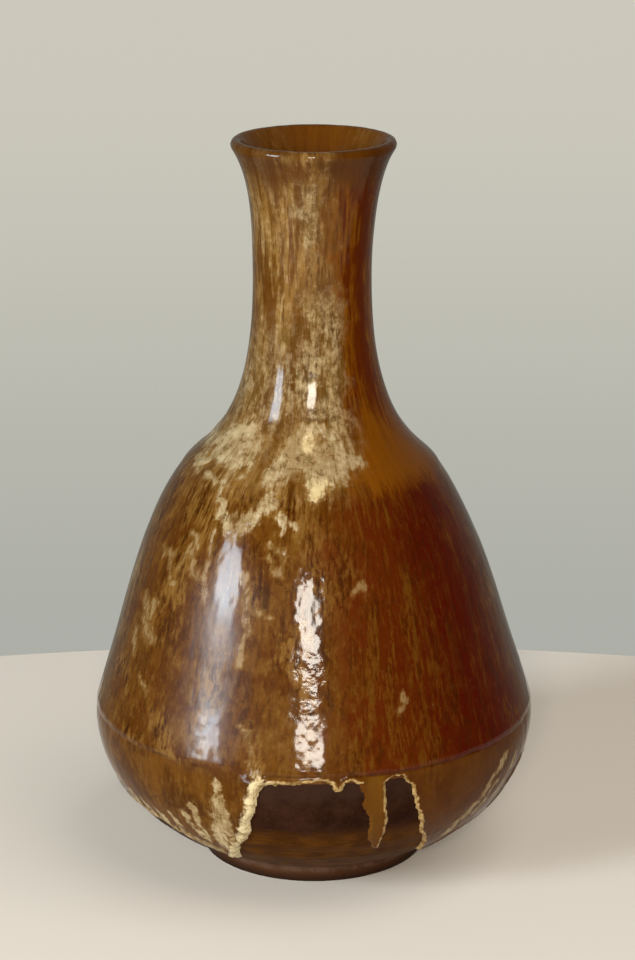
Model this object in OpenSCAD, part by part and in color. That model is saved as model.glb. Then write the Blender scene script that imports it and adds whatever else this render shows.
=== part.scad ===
// Ceramic bud vase: a round belly on a low foot, drawn in to a slender flared neck.
//
// The pot is thrown in two sections, a belly and a neck, whose level rims are luted together with
// slip at the shoulder, and it stands on a turned foot ring. It carries a poured liner inside, a
// base coat outside, a second coat dipped from the mouth down to a level line near the belly's
// widest place, cream patches trailed on the shoulder, and thick rolls where the base coat has
// crept back from bare arches above the foot.
//
// Millimetres, +Z up. The origin is the centre of the foot's contact face, and -Y is the front.
// Azimuths are in degrees from the front, positive towards +X.

/* [Outline] */
// Overall height, over the lip
height = 200; // [190:1:210]
// Outside diameter at the widest place of the belly
belly_d = 122; // [114:1:130]
// Height of the widest place of the belly
belly_z = 40; // [36:1:44]
// Outside diameter half way up the belly's flank
flank_d = 106; // [102:1:109]
// Height of that place on the flank
flank_z = 68; // [64:1:72]
// Outside diameter at the shoulder crease, where the two thrown sections meet
shoulder_d = 71; // [66:1:76]
// Height of the shoulder crease
shoulder_z = 110; // [106:1:114]
// Outside diameter at the narrowest place of the neck
neck_d = 31.8; // [29:0.2:35]
// Height of the narrowest place of the neck
neck_z = 163; // [158:1:168]
// Outside diameter at the edge of the lip
lip_d = 43.8; // [40:0.2:48]

/* [Foot] */
// Diameter of the foot where it meets the table
foot_d = 62.6; // [58:0.2:68]
// Height of the foot ring
foot_h = 5.6; // [4.8:0.2:7]
// Width of the foot ring
foot_w = 7; // [5:0.5:9]
// How much wider the foot is at its top, on the radius
foot_flare = 0.5; // [0:0.1:1]
// Chamfer round the foot's contact face
foot_chamfer = 0.6; // [0.3:0.1:1]

/* [Wall] */
// Thickness of the finished wall at the foot
wall_low = 5.6; // [5:0.1:6.5]
// Thickness of the finished wall at the lip
wall_lip = 3; // [2.6:0.1:3.6]
// Thickness of the slip that lutes the two thrown sections
slip_t = 0.6; // [0.4:0.1:1]

/* [Glaze] */
// Thickness of the base coat
base_t = 0.5; // [0.4:0.1:0.7]
// Thickness of the upper coat that is dipped over it
upper_t = 0.3; // [0.2:0.1:0.5]
// Height of the dip line where the upper coat ends
dip_z = 43; // [42:0.5:46]
// Height where the base coat ends above the foot
skirt_z = 15; // [13:0.5:18]
// Width of the rolled edge round each bare arch
roll_w = 1.6; // [1:0.1:2]
// Height that the cream patches stand proud of the upper coat
cream_t = 0.3; // [0.2:0.1:0.5]

/* [Hidden] */
$fn = 96;

// Bare arches in the base coat: azimuth, width, height of the top.
ARCHES = [[-2.5, 30, 41], [23, 9.5, 41], [76, 18, 31], [118, 15, 39], [152, 26, 41], [-138, 18, 38],
          [-96, 22, 34]];
arch_corner = 4;

// Cream patches on the shoulder: azimuth, width, lowest and highest edge.
PATCHES = [[-4, 26, 112, 126], [-58, 24, 113, 126], [-29, 12, 100, 108], [-112, 26, 112, 127],
           [-168, 22, 110, 125], [142, 16, 113, 125]];
patch_corner = 3.5;

STEPS = 10;                         // pieces in each curve of the outline
coat_t = base_t + upper_t;          // both coats together, and the liner too
belly_r = belly_d / 2;
flank_r = flank_d / 2;
shoulder_r = shoulder_d / 2;
neck_r = neck_d / 2;
lip_r = lip_d / 2;
foot_top_r = foot_d / 2 + foot_flare;

// Lean of the wall, as run over rise, at the flank, the shoulder and the lip.
flank_lean = -0.29;
shoulder_lean = -0.72;
lip_lean = 0.42;

rim_r = wall_lip / 2;               // the lip is a half round across the wall
lip_z = height - rim_r * (1 + lip_lean / norm([1, lip_lean]));

// The outline runs from the top of the foot to the lip in five smooth curves, and each curve
// leaves and meets its neighbours along the same lean, except at the shoulder crease.
function bezier(a, b, c, d, t) =
    pow(1 - t, 3) * a + 3 * pow(1 - t, 2) * t * b + 3 * (1 - t) * t * t * c + pow(t, 3) * d;
function curve(a, b, c, d) = [for (i = [0 : STEPS - 1]) bezier(a, b, c, d, i / STEPS)];
function lean_to(r, z, lean, rise) = [r + lean * rise, z + rise];

outline = concat(
    curve([foot_top_r, foot_h], [foot_top_r + 13, foot_h + 0.8], [belly_r, belly_z - 17],
          [belly_r, belly_z]),
    curve([belly_r, belly_z], [belly_r, belly_z + 4.4], lean_to(flank_r, flank_z, flank_lean, -20),
          [flank_r, flank_z]),
    curve([flank_r, flank_z], lean_to(flank_r, flank_z, flank_lean, 6.6),
          lean_to(shoulder_r, shoulder_z, shoulder_lean, -13), [shoulder_r, shoulder_z]),
    curve([shoulder_r, shoulder_z], lean_to(shoulder_r, shoulder_z, -0.44, 6.7),
          [neck_r, neck_z - 45], [neck_r, neck_z]),
    curve([neck_r, neck_z], [neck_r, neck_z + 28], lean_to(lip_r, lip_z, lip_lean, -2),
          [lip_r, lip_z]),
    [[lip_r, lip_z]]);
LIP = len(outline) - 1;

// Outward direction at station i of the outline.
function across(v) = [v[1], -v[0]] / norm(v);
function outward(i) = i == LIP ? across([lip_lean, 1])
    : i == 0 ? across(outline[1] - outline[0]) : across(outline[i + 1] - outline[i - 1]);
// The outline moved inwards by a depth, from the foot up.
function inset(depth) = [for (i = [0 : LIP]) outline[i] - depth * outward(i)];
// The finished wall thins evenly from the foot to the lip.
function wall_at(i) = wall_low + (wall_lip - wall_low) * i / LIP;
// The inside surface, moved out into the wall by a depth, from the lip down.
function inside(depth) =
    [for (i = [LIP : -1 : 0]) outline[i] - (wall_at(i) - depth) * outward(i)];
// The half round over the lip, from outside to inside, at a depth below its surface.
rim_centre = outline[LIP] - rim_r * outward(LIP);
rim_turn = atan2(outward(LIP)[1], outward(LIP)[0]);
function rim(depth) = [for (i = [1 : STEPS - 1]) let (turn = rim_turn + 180 * i / STEPS)
    rim_centre + (rim_r - depth) * [cos(turn), sin(turn)]];
function reversed(path) = [for (i = [len(path) - 1 : -1 : 0]) path[i]];

inside_floor_z = inside(0)[LIP][1];
clay_floor_z = inside(coat_t)[LIP][1];

// One coat that wraps the outside, the lip and the start of the inside, between two depths.
module outer_coat(outer_depth, inner_depth) {
    rotate_extrude()
        polygon(concat(inset(outer_depth), rim(outer_depth), [inside(outer_depth)[0]],
                       [inside(inner_depth)[0]], reversed(rim(inner_depth)),
                       reversed(inset(inner_depth))));
}

// Everything above a height, as a cutting block.
module above(z) {
    translate([0, 0, z]) cylinder(r = belly_r + 20, h = height);
}

// A flat panel with round upper corners, pushed outwards from the axis at an azimuth.
module arch_cutter(azimuth, width, top, low = 0) {
    corner = min(arch_corner, width / 2 - 0.5);
    rotate([0, 0, azimuth]) rotate([90, 0, 0]) linear_extrude(height = belly_r + 10) {
        translate([-width / 2, low]) square([width, top - corner - low]);
        translate([corner - width / 2, low]) square([width - 2 * corner, top - low]);
        for (side = [-1, 1])
            translate([side * (width / 2 - corner), top - corner]) circle(r = corner);
    }
}

// The clay wall and floor as one thrown form, before it is parted at the shoulder.
module clay_form() {
    rotate_extrude()
        polygon(concat(inset(coat_t), rim(coat_t), inside(coat_t), [[0, clay_floor_z]],
                       [[0, foot_h]], [[inset(coat_t)[0][0], foot_h]]));
}

// Everything under the level joint at the shoulder, whose slip is half above and half below it.
module under_joint(side) {
    cylinder(r = belly_r + 20, h = shoulder_z + side * slip_t / 2);
}

module foot_ring() {
    foot_r = foot_d / 2;
    color("#5a3826")
        rotate_extrude()
            polygon([[foot_r - foot_w + foot_chamfer, 0], [foot_r - foot_chamfer, 0],
                     [foot_r, foot_chamfer], [foot_top_r, foot_h], [foot_r - foot_w, foot_h],
                     [foot_r - foot_w, foot_chamfer]]);
}

module belly_wall() {
    color("#4a2c1e") intersection() {
        clay_form();
        under_joint(-1);
    }
}

module shoulder_slip() {
    color("#7a5a40") intersection() {
        clay_form();
        difference() {
            under_joint(1);
            under_joint(-1);
        }
    }
}

module neck_wall() {
    color("#4a2c1e") difference() {
        clay_form();
        under_joint(1);
    }
}

module liner_glaze() {
    color("#8a5a1c")
        rotate_extrude()
            polygon(concat([[0, clay_floor_z], [0, inside_floor_z]], reversed(inside(0)),
                           inside(coat_t)));
}

module base_glaze() {
    color("#7a4a14") difference() {
        intersection() {
            outer_coat(upper_t, coat_t);
            above(skirt_z);
        }
        for (a = ARCHES)
            arch_cutter(a[0], a[1], a[2]);
    }
}

module upper_glaze() {
    color("#6a2408") intersection() {
        outer_coat(0, upper_t);
        above(dip_z);
    }
}

module cream_glaze() {
    color("#d8c49a") intersection() {
        rotate_extrude()
            polygon(concat(inset(-cream_t), reversed(inset(0))));
        for (p = PATCHES)
            rotate([0, 0, p[0]]) rotate([90, 0, 0]) linear_extrude(height = belly_r + 10)
                rounded_panel(p[1], p[2], p[3]);
    }
}

// A panel with four round corners, between two heights.
module rounded_panel(width, low, high) {
    reach = width / 2 - patch_corner;
    translate([-width / 2, low + patch_corner]) square([width, high - low - 2 * patch_corner]);
    translate([-reach, low]) square([2 * reach, high - low]);
    for (side = [-1, 1], z = [low + patch_corner, high - patch_corner])
        translate([side * reach, z]) circle(r = patch_corner);
}

module glaze_rolls() {
    color("#e0cfa0") intersection() {
        outer_coat(0, upper_t);
        for (a = ARCHES)
            difference() {
                arch_cutter(a[0], a[1] + 2 * roll_w, a[2] + roll_w, skirt_z + 1);
                arch_cutter(a[0], a[1], a[2]);
            }
    }
}

foot_ring();
belly_wall();
shoulder_slip();
neck_wall();
liner_glaze();
base_glaze();
upper_glaze();
cream_glaze();
glaze_rolls();
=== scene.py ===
# %% [markdown]
# # A glazed bud vase
#
# This lesson dresses a thrown and glazed bud vase. The solid model underneath fixes every size: it
# holds the clay wall, the foot and each glaze coat as plain turned solids. Here each of them gets
# its real surface: throwing rings in the clay, coats that run, thick rolled edges where the base
# coat crept back from the clay, and the mottled colours of a reduction-fired kiln.
#
# We start by loading the solid model. It stays where it is, and everything else is built round it.

# %% Load the solid model
import math
from types import SimpleNamespace

import bmesh
import bpy
import numpy as np
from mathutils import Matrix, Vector, noise


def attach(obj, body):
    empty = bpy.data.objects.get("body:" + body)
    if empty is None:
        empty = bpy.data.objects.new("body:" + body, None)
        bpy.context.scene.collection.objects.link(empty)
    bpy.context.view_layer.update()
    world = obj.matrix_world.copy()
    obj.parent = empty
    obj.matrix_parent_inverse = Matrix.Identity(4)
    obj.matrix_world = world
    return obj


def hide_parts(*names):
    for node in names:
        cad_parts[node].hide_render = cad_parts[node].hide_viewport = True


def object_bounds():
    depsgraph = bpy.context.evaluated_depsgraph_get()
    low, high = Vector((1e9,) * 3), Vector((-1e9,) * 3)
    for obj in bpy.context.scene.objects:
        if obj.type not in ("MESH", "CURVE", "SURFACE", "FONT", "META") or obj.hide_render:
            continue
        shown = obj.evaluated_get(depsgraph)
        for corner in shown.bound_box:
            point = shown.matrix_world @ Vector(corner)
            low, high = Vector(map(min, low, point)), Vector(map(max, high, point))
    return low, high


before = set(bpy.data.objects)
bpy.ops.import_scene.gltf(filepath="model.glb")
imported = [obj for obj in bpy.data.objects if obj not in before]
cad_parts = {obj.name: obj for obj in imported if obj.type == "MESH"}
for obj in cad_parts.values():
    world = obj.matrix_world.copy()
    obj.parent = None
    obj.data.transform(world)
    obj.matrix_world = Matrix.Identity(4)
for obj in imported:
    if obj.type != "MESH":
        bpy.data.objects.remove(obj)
cad_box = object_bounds()
MM = 0.001
HEIGHT = cad_box[1].z / MM
print("height", round(HEIGHT, 1), "mm, nodes:", sorted(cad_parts))

# %% [markdown]
# ## The outline
#
# A thrown pot is a surface of revolution, so one outline describes it all. Ours rises from the top
# of the foot through five places that the eye picks out: the widest place of the belly, the
# straight flank, the crease at the shoulder, the narrowest place of the neck and the lip. Between
# them run smooth curves with two handles each, the kind that any drawing program has. We could
# trace the mesh of the solid model instead, but its facets would show in the gloss.

# %% The outline of the pot, in millimetres
FOOT_TOP = (31.8, 5.6)
BELLY = (61.0, 40.0)
FLANK = (53.0, 68.0)
SHOULDER = (35.5, 110.0)
NECK = (15.9, 163.0)
LIP = (21.9, HEIGHT - 2.08)
FLANK_LEAN, SHOULDER_LEAN, LIP_LEAN = -0.29, -0.72, 0.42
WALL_LOW, WALL_LIP = 5.6, 3.0


def leaning(place, lean, rise):
    """A handle that leaves a place on the outline along its lean."""
    return (place[0] + lean * rise, place[1] + rise)


CURVES = [
    (FOOT_TOP, (44.8, 6.4), (61.0, 23.0), BELLY),
    (BELLY, (61.0, 44.4), leaning(FLANK, FLANK_LEAN, -20), FLANK),
    (FLANK, leaning(FLANK, FLANK_LEAN, 6.6), leaning(SHOULDER, SHOULDER_LEAN, -13), SHOULDER),
    (SHOULDER, leaning(SHOULDER, -0.44, 6.7), (NECK[0], 118.0), NECK),
    (NECK, (NECK[0], 191.0), leaning(LIP, LIP_LEAN, -2), LIP),
]
STEPS = 60


def bezier(a, b, c, d, t):
    t = t[:, None]
    a, b, c, d = (np.array(p, float) for p in (a, b, c, d))
    return (1 - t) ** 3 * a + 3 * (1 - t) ** 2 * t * b + 3 * (1 - t) * t * t * c + t**3 * d


share = np.linspace(0, 1, STEPS, endpoint=False)
outline = np.vstack([bezier(*curve, share) for curve in CURVES] + [[LIP]])
slope = np.gradient(outline, axis=0)
slope /= np.linalg.norm(slope, axis=1)[:, None]
outward = np.stack([slope[:, 1], -slope[:, 0]], axis=1)
wall = np.linspace(WALL_LOW, WALL_LIP, len(outline))


def outside(depth, low=0.0, high=HEIGHT):
    """The outline moved in by a depth, from a low to a high place, going up."""
    path = outline - depth * outward
    return path[(path[:, 1] >= low) & (path[:, 1] <= high)]


def inside(depth, low=0.0, high=HEIGHT):
    """The inside of the wall, moved back into the clay by a depth, going down."""
    path = (outline - (wall - depth)[:, None] * outward)[::-1]
    return path[(path[:, 1] >= low) & (path[:, 1] <= high)]


def rim(depth, turns=16):
    """The half round over the lip, from outside to inside."""
    centre = outline[-1] - WALL_LIP / 2 * outward[-1]
    start = math.atan2(outward[-1][1], outward[-1][0])
    angle = start + math.pi * np.arange(1, turns) / turns
    radius = WALL_LIP / 2 - depth
    return centre + radius * np.stack([np.cos(angle), np.sin(angle)], axis=1)


def radius_at(z):
    return np.interp(z, outline[:, 1], outline[:, 0])


print("outline", len(outline), "points, lip radius", LIP[0])

# %% [markdown]
# ## The camera and the room
#
# The vase is seen from a little above. A long lens keeps its proportions calm. It stands on a
# round table in a pale room with two tall soft windows: a cool one at the left, and a warm one
# behind the viewer. Glaze shows what it reflects, so the windows are placed by where their
# reflections have to fall: a narrow bright streak on the left of the belly and a broken one down
# its middle. A third light overhead only fills the shadows. It is left out of the reflections,
# because its outline on the shoulder would look like a pale panel.

# %% Camera and lights
CAMERA_BACK, CAMERA_UP = 0.7456, 0.3354
PITCH, YAW = 17.13, -0.078
SENSOR, FOCAL = 36.0, 107.0

camera = bpy.data.objects.new("camera", bpy.data.cameras.new("camera"))
camera.location = (0, -CAMERA_BACK, CAMERA_UP)
camera.rotation_euler = (math.radians(90 - PITCH), 0, math.radians(YAW))
camera.data.sensor_width = SENSOR
camera.data.lens = FOCAL
camera.data.clip_start = 0.05
bpy.context.scene.collection.objects.link(camera)
bpy.context.scene.camera = camera


def softbox(name, azimuth, elevation, distance, width, height, power, colour, mirrored=True):
    """A soft rectangular light that faces the belly. Azimuth 0 is the front, + is to the right."""
    light = bpy.data.lights.new(name, "AREA")
    light.shape = "RECTANGLE"
    light.size, light.size_y = width, height
    light.energy, light.color = power, colour
    holder = bpy.data.objects.new(name, light)
    a, e = math.radians(azimuth), math.radians(elevation)
    way = Vector((math.sin(a) * math.cos(e), -math.cos(a) * math.cos(e), math.sin(e)))
    holder.location = Vector((0, 0, 0.07)) + way * distance
    holder.rotation_euler = way.to_track_quat("Z", "Y").to_euler()
    holder.visible_camera = False
    holder.visible_glossy = mirrored
    bpy.context.scene.collection.objects.link(holder)


softbox("left_window", -58, 17.0, 1.5, 0.33, 0.54, 27, (0.80, 0.91, 1.0))
softbox("front_window", -2, 18.4, 1.7, 0.32, 0.41, 31, (1.0, 0.93, 0.82))
softbox("ceiling", 58, 60, 1.8, 1.5, 1.5, 18, (1.0, 0.98, 0.95), mirrored=False)

scene = bpy.context.scene
scene.view_settings.view_transform = "Standard"

# %% [markdown]
# ## Node trees written as Python
#
# Node graphs get long, so we write them as Python expressions. A `Wire` stands for one socket, and
# its operators add Math nodes. `make` builds any other node from its type, its settings and its
# inputs. Both work in shader trees and in Geometry Nodes trees alike.


# %% Wires and nodes
def make(tree, kind, settings=None, inputs=None, output=0):
    """Adds a node, its settings first and then its inputs.

    It returns one output as a Wire, a list of Wires for a range, or the node itself for None.
    """
    node = tree.nodes.new(kind)
    for name, value in (settings or {}).items():
        setattr(node, name, value)
    inputs = inputs or {}
    for key, value in inputs.items() if isinstance(inputs, dict) else enumerate(inputs):
        if value is None:
            continue
        if isinstance(value, Wire):
            tree.links.new(value.socket, node.inputs[key])
        else:
            node.inputs[key].default_value = value
    if output is None or not node.outputs:
        return node
    if isinstance(output, range):
        return [Wire(tree, node.outputs[i]) for i in output]
    return Wire(tree, node.outputs[output])


class Wire:
    """A socket with Python's operators."""

    def __init__(self, tree, socket):
        self.tree, self.socket = tree, socket

    def math(self, operation, *others):
        return make(self.tree, "ShaderNodeMath", {"operation": operation}, [self, *others])

    def __add__(self, other):
        return self.math("ADD", other)

    __radd__ = __add__

    def __mul__(self, other):
        return self.math("MULTIPLY", other)

    __rmul__ = __mul__

    def __sub__(self, other):
        return self.math("SUBTRACT", other)

    def __rsub__(self, other):
        return make(self.tree, "ShaderNodeMath", {"operation": "SUBTRACT"}, [other, self])

    def __truediv__(self, other):
        return self.math("DIVIDE", other)

    def __abs__(self):
        return self.math("ABSOLUTE")

    def step(self, low, high):
        """0 below low, 1 above high, and smooth between."""
        return make(
            self.tree,
            "ShaderNodeMapRange",
            {"interpolation_type": "SMOOTHSTEP"},
            {"Value": self, "From Min": low, "From Max": high},
        )


def vector(tree, x, y, z):
    return make(tree, "ShaderNodeCombineXYZ", None, [x, y, z])


def axes_of(tree, place):
    return make(tree, "ShaderNodeSeparateXYZ", None, [place], output=range(3))


def blend(tree, factor, first, second):
    """Mixes two colours."""
    colours = {0: factor, 6: first, 7: second}
    return make(tree, "ShaderNodeMix", {"data_type": "RGBA"}, colours, output=2)


# %% [markdown]
# ## Turning on the wheel
#
# Every layer of the pot is turned, so one Geometry Nodes tree makes them all. It takes a profile,
# a chain of edges in the XZ plane, and spins it. Two inputs keep it from looking like a lathe job:
# throwing rings rise round the wall in a spiral, one pitch for each turn of the wheel, and the pot
# sways a little to one side at the shoulder, as soft clay does.


# %% The wheel, as a Geometry Nodes tree
def wheel_sockets():
    """An empty tree with the wheel's inputs, as Wires by name, and its output."""
    tree = bpy.data.node_groups.new("wheel", "GeometryNodeTree")
    face = tree.interface
    face.new_socket("Geometry", in_out="INPUT", socket_type="NodeSocketGeometry")
    for name, kind in (
        ("Segments", "NodeSocketInt"),
        ("Rows", "NodeSocketInt"),
        ("Ring spacing", "NodeSocketFloat"),
        ("Ring depth", "NodeSocketFloat"),
        ("Sway", "NodeSocketFloat"),
        ("Material", "NodeSocketMaterial"),
    ):
        face.new_socket(name, in_out="INPUT", socket_type=kind)
    face.new_socket("Geometry", in_out="OUTPUT", socket_type="NodeSocketGeometry")
    group = make(tree, "NodeGroupInput", output=None)
    return tree, {s.name: Wire(tree, s) for s in group.outputs}


def profile_point(tree, given):
    """A unit grid, how far round each of its points is, and its radius and height."""
    profile = make(tree, "GeometryNodeMeshToCurve", None, {"Mesh": given["Geometry"]})
    sizes = {
        "Size X": 1.0,
        "Size Y": 1.0,
        "Vertices X": given["Segments"] + 1,
        "Vertices Y": given["Rows"] + 1,
    }
    grid = make(tree, "GeometryNodeMeshGrid", None, sizes)
    across, along, _ = axes_of(tree, make(tree, "GeometryNodeInputPosition"))
    by_length = {"mode": "FACTOR", "use_all_curves": True}
    place = {"Curves": profile, "Factor": along + 0.5}
    point = make(tree, "GeometryNodeSampleCurve", by_length, place, output="Position")
    radius, _, height = axes_of(tree, point)
    return grid, across + 0.5, radius, height


def fill_wheel(tree, given):
    """Spins the profile, with rings and sway, and hands on one smooth closed mesh."""
    grid, turn, radius, height = profile_point(tree, given)
    ring = ((height / given["Ring spacing"] + turn) * (2 * math.pi)).math("SINE")
    uneven = {"W": height * 90.0, "Scale": 1.0, "Detail": 2.0}
    strength = make(tree, "ShaderNodeTexNoise", {"noise_dimensions": "1D"}, uneven)
    radius = radius + ring * strength * given["Ring depth"] * radius.math("GREATER_THAN", 0.008)
    up = height / MM
    neck_sway = up.step(45.0, 75.0) * (1 - up.step(165.0, 188.0))
    away = (up - 102.0) / 18.0
    shoulder_sway = (away * away * -1.0).math("EXPONENT")
    shift = (neck_sway * 0.4 + shoulder_sway * 0.6) * given["Sway"]
    angle = (turn + 0.25) * (2 * math.pi)
    spun = vector(tree, radius * angle.math("COSINE") - shift, radius * angle.math("SINE"), height)

    moved = make(tree, "GeometryNodeSetPosition", None, {"Geometry": grid, "Position": spun})
    closed = make(tree, "GeometryNodeMergeByDistance", None, {"Geometry": moved, "Distance": 1e-6})
    smooth = make(tree, "GeometryNodeSetShadeSmooth", None, {"Geometry": closed})
    real = make(tree, "GeometryNodeRealizeInstances", None, {"Geometry": smooth})
    finish = {"Geometry": real, "Material": given["Material"]}
    done = make(tree, "GeometryNodeSetMaterial", None, finish)
    make(tree, "NodeGroupOutput", None, {"Geometry": done})


WHEEL, wheel_inputs = wheel_sockets()
fill_wheel(WHEEL, wheel_inputs)
print("wheel", len(WHEEL.nodes), "nodes, inputs", sorted(wheel_inputs))

# %% Turning a profile
SWAY = 1.0 * MM


def turned(name, profile, segments, rows, material, ring_depth=0.0, ring_spacing=5.5):
    """Spins a profile in millimetres and returns a plain mesh object."""
    source = bpy.data.meshes.new(name + "_profile")
    points = [(r * MM, 0, z * MM) for r, z in profile]
    source.from_pydata(points, [(i, i + 1) for i in range(len(points) - 1)], [])
    holder = bpy.data.objects.new(name + "_profile", source)
    bpy.context.scene.collection.objects.link(holder)
    modifier = holder.modifiers.new("wheel", "NODES")
    modifier.node_group = WHEEL
    sizes = {
        "Segments": segments,
        "Rows": rows,
        "Ring spacing": ring_spacing * MM,
        "Ring depth": ring_depth * MM,
        "Sway": SWAY,
        "Material": material,
    }
    for item in WHEEL.interface.items_tree:
        if item.in_out == "INPUT" and item.name in sizes:
            modifier[item.identifier] = sizes[item.name]
    holder.update_tag()
    evaluated = holder.evaluated_get(bpy.context.evaluated_depsgraph_get())
    mesh = bpy.data.meshes.new_from_object(evaluated)
    mesh.name = name
    piece = bpy.data.objects.new(name, mesh)
    bpy.context.scene.collection.objects.link(piece)
    bpy.data.objects.remove(holder)
    bpy.data.meshes.remove(source)
    if not mesh.materials:
        mesh.materials.append(material)
    print(name, len(mesh.polygons), "faces")
    return piece


# %% [markdown]
# ## Places on the pot
#
# A glazer thinks of places on the pot as an angle round it and a height. These helpers give both
# for all the points of a mesh at once, and turn angles into millimetres of arc, so that a stroke
# or a bare patch can be drawn flat and laid on the wall.


# %% Angle, height and arc
def points_of(mesh):
    co = np.empty(len(mesh.vertices) * 3)
    mesh.vertices.foreach_get("co", co)
    return co.reshape(-1, 3)


def normals_of(mesh):
    directions = np.empty(len(mesh.vertices) * 3)
    mesh.vertex_normals.foreach_get("vector", directions)
    return directions.reshape(-1, 3)


def angle_height(co):
    """Azimuth in degrees from the front, + to the right, and height in millimetres."""
    return np.degrees(np.arctan2(co[:, 0], -co[:, 1])), co[:, 2] / MM


def wrapped(angle):
    return (angle + 180.0) % 360.0 - 180.0


def arc(angle, centre, z):
    """Millimetres round the wall from a centre angle."""
    return np.radians(wrapped(angle - centre)) * radius_at(z)


def ripple(co, size, seed, octaves=3):
    """Smooth noise from -1 to 1 at each point, with features of about a size in millimetres."""
    shift = Vector((seed * 17.3, seed * 5.1, seed * 9.7))
    scale = 1 / (size * MM)
    return np.array([noise.fractal(Vector(p) * scale + shift, 0.6, 2.0, octaves) for p in co])


def smooth(value, low, high):
    t = np.clip((value - low) / (high - low), 0, 1)
    return t * t * (3 - 2 * t)


def distance_to_line(x, z, x1, z1, x2, z2):
    dx, dz = x2 - x1, z2 - z1
    t = np.clip(((x - x1) * dx + (z - z1) * dz) / max(dx * dx + dz * dz, 1e-9), 0, 1)
    return np.hypot(x - x1 - t * dx, z - z1 - t * dz)


def store(mesh, name, values):
    attribute = mesh.attributes.new(name, "FLOAT", "POINT")
    attribute.data.foreach_set("value", values.astype(np.float32))


print("girth at the belly", round(2 * math.pi * BELLY[0]), "mm")


# %% [markdown]
# ## Where the base coat crept back
#
# Above the foot the base coat has pulled away from the clay in arches, and its edge has rolled up
# into a thick pale bead round each of them. Each arch is an outline of a few places, given as
# angle and height from its lower left, over the top and down to its lower right. The pot was held
# by the foot, so nothing under the skirt line is glazed either. One number then says where a point
# lies: its distance into the coat, negative on bare clay.

# %% Bare arches
# Each arch: the width of its rolled edge on the left, over the top and on the right, and then
# its outline.
ARCHES = [
    ((4.4, 1.3, 0), [
        (-29, 8), (-23, 18), (-19, 22), (-17.2, 26), (-17, 29), (-15.2, 32), (-14.2, 37),
        (-12.5, 40.5), (-10, 41.3), (-9.6, 40.6), (-9, 41.4), (-5, 41.2), (1, 42.2), (4.8, 41.4),
        (5.6, 39.2), (6.8, 39.4), (7.4, 41.2), (9.5, 42.1), (11.6, 41), (12.3, 38), (12.9, 34),
        (15.2, 29), (14.8, 26), (15.6, 22), (17.0, 19), (19.5, 18), (22, 16.5), (22, 8),
    ]),
    ((1.1, 0.8, 1.1), [
        (13, 8), (13, 16.5), (19.0, 18.4), (19.3, 22), (19.3, 28), (18.0, 36), (17.9, 41),
        (20, 42), (22.5, 41.6), (24, 39.8), (25, 39.2), (25.8, 35.8), (26.9, 34.6), (27.2, 31.5),
        (29, 28.5), (29.8, 25), (31.6, 21.6), (34, 19), (36, 15.5), (38.5, 11.5), (40, 8),
    ]),
    ((1.8, 1.0, 1.6), [
        (66, 8), (67, 18), (69, 26), (73, 30.5), (78, 31), (82, 28), (85, 20), (87, 8),
    ]),
    ((1.6, 1.2, 1.4), [
        (107, 8), (109, 20), (111, 31), (114, 37), (119, 39), (123, 37), (126, 28), (130, 8),
    ]),
    ((2.8, 1.2, 1.0), [
        (136, 8), (139, 20), (141, 31), (144, 38), (149, 41), (158, 41.5), (162, 38), (165, 28),
        (169, 18), (172, 8),
    ]),
    ((1.4, 1.1, 2.0), [
        (-152, 8), (-149, 20), (-148, 30), (-145, 36.5), (-139, 39), (-133, 37), (-129, 28),
        (-124, 8),
    ]),
    ((2.4, 1.2, 1.4), [
        (-111, 8), (-108, 18), (-105, 26), (-101, 32), (-95, 34), (-89, 32), (-84, 24), (-79, 8),
    ]),
]
# Where the base coat ends between the arches: angle and height.
SKIRT = [
    (-180, 17), (-116, 16), (-76, 22), (-62, 21.5), (-48, 19), (-36, 14.5), (-28, 12.5),
    (0, 12), (41, 11), (50, 15), (66, 17), (104, 18), (180, 17),
]
print(len(ARCHES), "bare arches with", sum(len(places) for _, places in ARCHES), "places")


# %% Distance into the base coat
LEFT, TOP, RIGHT = range(3)


def inside_shape(x, z, corners):
    """Which points lie inside a flat outline."""
    odd = np.zeros(len(x), bool)
    for (x1, z1), (x2, z2) in zip(corners, corners[1:] + corners[:1]):
        if z1 != z2:
            crosses = (z1 > z) != (z2 > z)
            odd ^= crosses & (x < (x2 - x1) * (z - z1) / (z2 - z1) + x1)
    return odd


def coat_edge(co):
    """Distance into the base coat in millimetres, and the width of the roll there."""
    angle, z = angle_height(co)
    ragged = ripple(co, 4.0, 1, 4)
    lobes = ripple(co, 2.8, 2, 2)
    z_bent = z + 0.4 * ragged + 0.2 * lobes
    skirt = np.interp(angle, *np.array(SKIRT).T)
    depth = z_bent - skirt - 1.6 * ripple(co, 9.0, 3, 4)
    roll = np.full(len(z), 1.2)
    for rolls, outline_points in ARCHES:
        centre = (outline_points[0][0] + outline_points[-1][0]) / 2
        x = arc(angle, centre, z) + (0.05 + 0.08 * rolls[0]) * lobes + 0.35 * ragged
        corners = [(math.radians(a - centre) * float(radius_at(h)), h) for a, h in outline_points]
        top = max(h for _, h in outline_points) - 3.5
        middle = (corners[0][0] + corners[-1][0]) / 2
        near = np.full(len(z), np.inf)
        width = np.full(len(z), 1.0)
        for (x1, z1), (x2, z2) in zip(corners, corners[1:]):
            gap = distance_to_line(x, z_bent, x1, z1, x2, z2)
            side = LEFT if x1 < middle else RIGHT
            if min(z1, z2) > top:
                side = TOP
            width = np.where(gap < near, rolls[side], width)
            near = np.minimum(near, gap)
        near = np.where(inside_shape(x, z_bent, corners), -near, near)
        roll = np.where(near < depth, width, roll)
        depth = np.minimum(depth, near)
    return depth, roll * (1 + 0.15 * lobes)


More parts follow.
